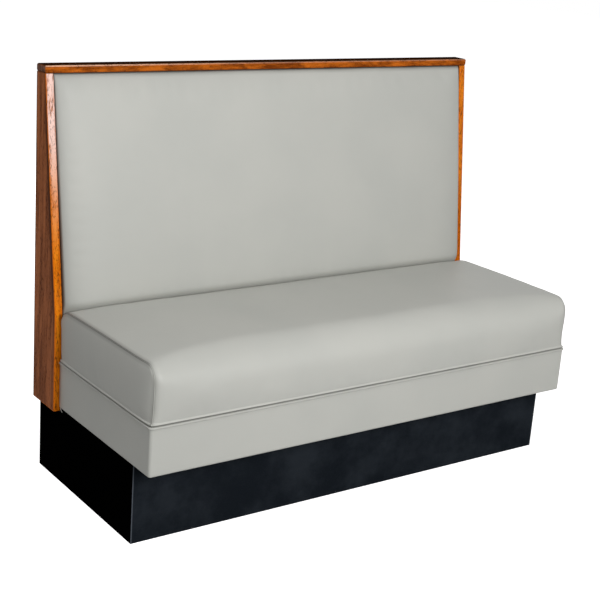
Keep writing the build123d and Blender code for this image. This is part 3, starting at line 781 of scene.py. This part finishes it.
def build_upright_oak():
    """End panels: upright grain, darker in a stripe behind the front edge and along the rear edge, and a
    pale painted highlight on the upper part of the left panel's front edge.
    """
    material, tree, shader, place, figure, edges, colour = build_oak(
        "stained_oak_upright", (0, math.radians(90), 0), 1,
        side=((0.16, 0.040, 0.010), (0.52, 0.170, 0.060)),
        # the front pair, lighter and more orange than the side's, is partly painted highlight
        front=((0.40, 0.066, 0.002), (0.92, 0.300, 0.008)), over=None, ends=None)
    x, y, z = put(tree, "SeparateXYZ", {0: place}).outputs
    slope = sums(tree, "MULTIPLY", sums(tree, "MAXIMUM", sums(tree, "SUBTRACT", z, knee_z), 0.0), lean)
    behind = sums(tree, "SUBTRACT", sums(tree, "SUBTRACT", y, panel_front), slope)
    # darker in a stripe just behind the front edge, varying with height, and along the rear edge
    stripe = ramp(tree, behind, 0.0030, 0.0042)
    for fade in (ramp(tree, behind, 0.008, 0.018, 1, 0), ramp(tree, z, 0.25, 0.50, 0.3, 0.85),
                 ramp(tree, z, 0.80, 0.92, 1, 0.4)):
        stripe = sums(tree, "MULTIPLY", stripe, fade)
    rear = ramp(tree, y, panel_high.y - 0.005, panel_high.y - 0.002)
    edge_darkening = sums(tree, "MAXIMUM", stripe, sums(tree, "MULTIPLY", rear, 0.7))
    colour = tint(tree, edge_darkening, colour, (0.055, 0.018, 0.008))
    colour = tint(tree, sums(tree, "MULTIPLY", edges["Edge"], 0.9), colour, (0.78, 0.18, 0.004))
    # painted highlight: the left panel's front edge turns pale pink towards its top, where it reflects
    # light; weaker where the grain is dark
    left = ramp(tree, x, -0.3, 0.3, 1, 0)
    painted_highlight_mask = sums(tree, "MULTIPLY", sums(tree, "MULTIPLY", edges["Front"], left), ramp(tree, z, 0.52, 0.82))
    highlight_tint = tint(tree, ramp(tree, z, 0.55, 0.85), (0.78, 0.36, 0.18), (0.92, 0.68, 0.62))
    dim_highlight_tint = tint(tree, 0.75, highlight_tint, (0.46, 0.12, 0.012))
    highlight_tint = tint(tree, ramp(tree, figure["Tone"], 0.30, 0.62), dim_highlight_tint, highlight_tint)
    colour = tint(tree, sums(tree, "MULTIPLY", painted_highlight_mask, 0.9), colour, highlight_tint)
    finish_oak(tree, shader, figure, edges, colour)
    return material


def build_level_oak():
    """Cap board: grain along its length, a top painted dark as shade, a pale line of painted highlight on
    the rounded front edge, grey end grain.
    """
    material, tree, shader, place, figure, edges, colour = build_oak(
        "stained_oak_level", (0, 0, 0), 4, side=((0.10, 0.030, 0.010), (0.30, 0.110, 0.045)),
        front=((0.13, 0.020, 0.001), (0.62, 0.150, 0.012)),
        # the top pair, near black, is painted shade
        over=((0.014, 0.004, 0.001), (0.046, 0.015, 0.005)),
        ends=((0.04, 0.018, 0.012), (0.32, 0.165, 0.115)))
    shader.inputs["Specular IOR Level"].default_value = 0
    # painted highlight: a pale line along the rounded top of the front edge, stronger to the left
    left = ramp(tree, put(tree, "SeparateXYZ", {0: place}).outputs[0], -0.55, 0.0, 0.85, 0.3)
    line = sums(tree, "MULTIPLY", ramp(tree, edges["Brow"], 0.8, 1.0), left)
    colour = tint(tree, line, colour, (0.80, 0.44, 0.28))
    finish_oak(tree, shader, figure, edges, colour)
    return material


def build_laminate():
    """Black laminate of the kick base, with a painted highlight at its two front corners and its end faces
    painted near black as shade.
    """
    material, tree, shader, place = new_material("black_laminate", 0.6, Specular_IOR_Level=0.0)
    dust = use(tree, fine_dust, Vector=place)
    turned = use(tree, rounded_edges)
    colour = tint(tree, dust["Blotches"], (0.0085, 0.0110, 0.0145), (0.0185, 0.0225, 0.0280))
    colour = tint(tree, sums(tree, "MULTIPLY", dust["Specks"], 0.35), colour, (0.038, 0.044, 0.053))
    # painted highlight: a light strip at the two front corners, where the edges catch light
    across = sums(tree, "ABSOLUTE", put(tree, "SeparateXYZ", {0: place}).outputs[0])
    painted_corner_highlight = ramp(tree, across, seat_half - 0.0035, seat_half - 0.0020)
    colour = tint(tree, painted_corner_highlight, colour, (0.075, 0.085, 0.100))
    # painted shade: the end faces are made near black
    colour = tint(tree, turned["Ends"], colour, (0.0005, 0.0005, 0.0006))
    paint(tree, shader, colour, ramp(tree, dust["Blotches"], 0, 1, 0.5, 0.65), dust["Specks"], 0.00005)
    return material


def build_plywood():
    """Bare plywood of the box, the base and the ribs."""
    material, tree, shader, place = new_material("plinth_plywood", 0.7)
    figure = use(tree, oak_figure, Vector=place, Ring_Width=0.05)
    colour = tint(tree, figure["Tone"], (0.42, 0.27, 0.14), (0.62, 0.45, 0.27))
    colour = tint(tree, sums(tree, "MULTIPLY", figure["Pores"], 0.4), colour, (0.25, 0.14, 0.07))
    paint(tree, shader, colour, height=figure["Height"], relief=0.0002)
    return material


def build_steel():
    """Zinc-plated steel of the screws, plates, brackets and staples."""
    material, tree, shader, place = new_material("zinc_steel", 0.35, Metallic=1.0)
    dust = use(tree, fine_dust, Vector=place, Speck_Size=0.0008)
    paint(tree, shader, tint(tree, dust["Blotches"], (0.45, 0.45, 0.44), (0.66, 0.66, 0.63)),
          ramp(tree, dust["Specks"], 0, 1, 0.3, 0.5))
    return material


def build_hardboard():
    """Black hardboard of the rear panel."""
    material, tree, shader, place = new_material("black_hardboard", 0.7, Specular_IOR_Level=0.3)
    dust = use(tree, fine_dust, Vector=place, Speck_Size=0.0025)
    colour = tint(tree, dust["Blotches"], (0.012, 0.012, 0.013), (0.022, 0.022, 0.023))
    colour = tint(tree, sums(tree, "MULTIPLY", dust["Specks"], 0.5), colour, (0.04, 0.04, 0.042))
    paint(tree, shader, colour, height=dust["Specks"], relief=0.0002)
    return material


grey_vinyl = build_vinyl()
grey_thread = build_thread()
upright_oak = build_upright_oak()
level_oak = build_level_oak()
black_laminate = build_laminate()
plywood = build_plywood()
zinc_steel = build_steel()
hardboard = build_hardboard()

# Words in the nodes' names with their finish; every other node is plywood
finishes = {
    "kick_laminate": black_laminate, "left_end_panel": upright_oak, "right_end_panel": upright_oak,
    "top_cap": level_oak, "rear_panel": hardboard, "screws": zinc_steel, "floor_brackets": zinc_steel,
    "joining_plates": zinc_steel,
}
for name, piece in nodes.items():
    finish = plywood
    for words, material in finishes.items():
        if words in name:
            finish = material
    piece.data.materials.clear()
    piece.data.materials.append(finish)

# Pieces of the booth

seat_swell, back_swell = 0.0035, 0.003    # how far a point of each cushion may blow out

seat_block, sewn_down = build_seat()
seat_cushion = new_piece("seat_cushion", seat_block, grey_vinyl)
fill_cover(seat_cushion, sewn_down, seat_swell)
finish_seat(seat_cushion)
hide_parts("seat_foam", "seat_top_cover", "seat_left_boxing", "seat_right_boxing")

back_block, pulled_in = build_back()
back_cushion = new_piece("back_cushion", back_block, grey_vinyl)
fill_cover(back_cushion, pulled_in, back_swell)
finish_back(back_cushion)
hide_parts("back_foam", "back_cover")

riser_band = new_piece("riser_band", build_riser(), grey_vinyl)
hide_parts("riser_cover")
vinyl_tail = new_piece("vinyl_tail", build_tail(), grey_vinyl)
seam_threads = new_piece("seam_threads", build_threads(seat_cushion, riser_band), grey_thread)
for piece in (seat_cushion, back_cushion):
    smooth_finish(piece)
lip_staples = new_piece("lip_staples", build_staples(), zinc_steel)

# Floor, light and camera

floor_reach = 12
room_light = 0.175
floor_bm = bmesh.new()
bmesh.ops.create_grid(floor_bm, x_segments=1, y_segments=1, size=floor_reach)
floor_mesh = bpy.data.meshes.new("floor")
floor_bm.to_mesh(floor_mesh)
floor_bm.free()
floor = bpy.data.objects.new("floor", floor_mesh)
scene.collection.objects.link(floor)
pale_floor, floor_tree, floor_shader, floor_place = new_material("pale_floor", 0.9, Specular_IOR_Level=0.0)
grain = put(floor_tree, "TexNoise", {"Vector": floor_place, "Scale": 3.0}).outputs[0]
paint(floor_tree, floor_shader, tint(floor_tree, grain, (0.62, 0.62, 0.62), (0.64, 0.64, 0.64)))
camera_ray = put(floor_tree, "LightPath").outputs["Is Camera Ray"]
floor_tree.links.new(camera_ray, floor_shader.inputs["Emission Strength"])
floor_shader.inputs["Emission Color"].default_value = (0.94, 0.94, 0.94, 1)
floor_mesh.materials.append(pale_floor)

world = bpy.data.worlds.new("studio")
scene.world = world
world.use_nodes = True
sky = world.node_tree
rays = put(sky, "LightPath").outputs
seen = sums(sky, "MAXIMUM", sums(sky, "MAXIMUM", rays["Is Camera Ray"], rays["Is Glossy Ray"]),
            rays["Is Transmission Ray"])
background = sky.nodes["Background"]
background.inputs["Color"].default_value = (1, 1, 1, 1)
sky.links.new(ramp(sky, seen, 0, 1, room_light, 1), background.inputs["Strength"])

# Each lamp's side in metres, watts and place; all are aimed at the middle of the booth
booth_middle = Vector((0, 0, 0.5))
lamps = {"front_softbox": (1.4, 77, (-0.15, -3.15, 1.8)), "overhead_softbox": (1.2, 18, (-1.3, -0.8, 2.6)),
         "left_softbox": (1.2, 2.5, (-2.8, -0.5, 1.5)), "rear_softbox": (1.6, 50, (0.0, 3.4, 1.5))}
for name, (size, power, place) in lamps.items():
    lamp_data = bpy.data.lights.new(name, "AREA")
    lamp_data.shape = "SQUARE"
    lamp_data.size = size
    lamp_data.energy = power
    lamp = bpy.data.objects.new(name, lamp_data)
    scene.collection.objects.link(lamp)
    lamp.location = place
    lamp.rotation_euler = (lamp.location - booth_middle).to_track_quat("Z", "Y").to_euler()

# The camera as fitted to the photograph's straight edges
camera_data = bpy.data.cameras.new("photo_view")
camera_data.sensor_width = 36
camera_data.lens = 78.801
camera_data.clip_end = 50
camera = bpy.data.objects.new("photo_view", camera_data)
scene.collection.objects.link(camera)
right = Vector((0.815391, -0.574555, 0.070880))
up = Vector((0.115703, 0.281707, 0.952499))
camera_turn = Matrix((right, up, right.cross(up))).transposed().to_4x4()
camera.matrix_world = Matrix.Translation((-1.829368, -2.410786, 1.352522)) @ camera_turn
scene.camera = camera

scene.view_settings.view_transform = "Standard"
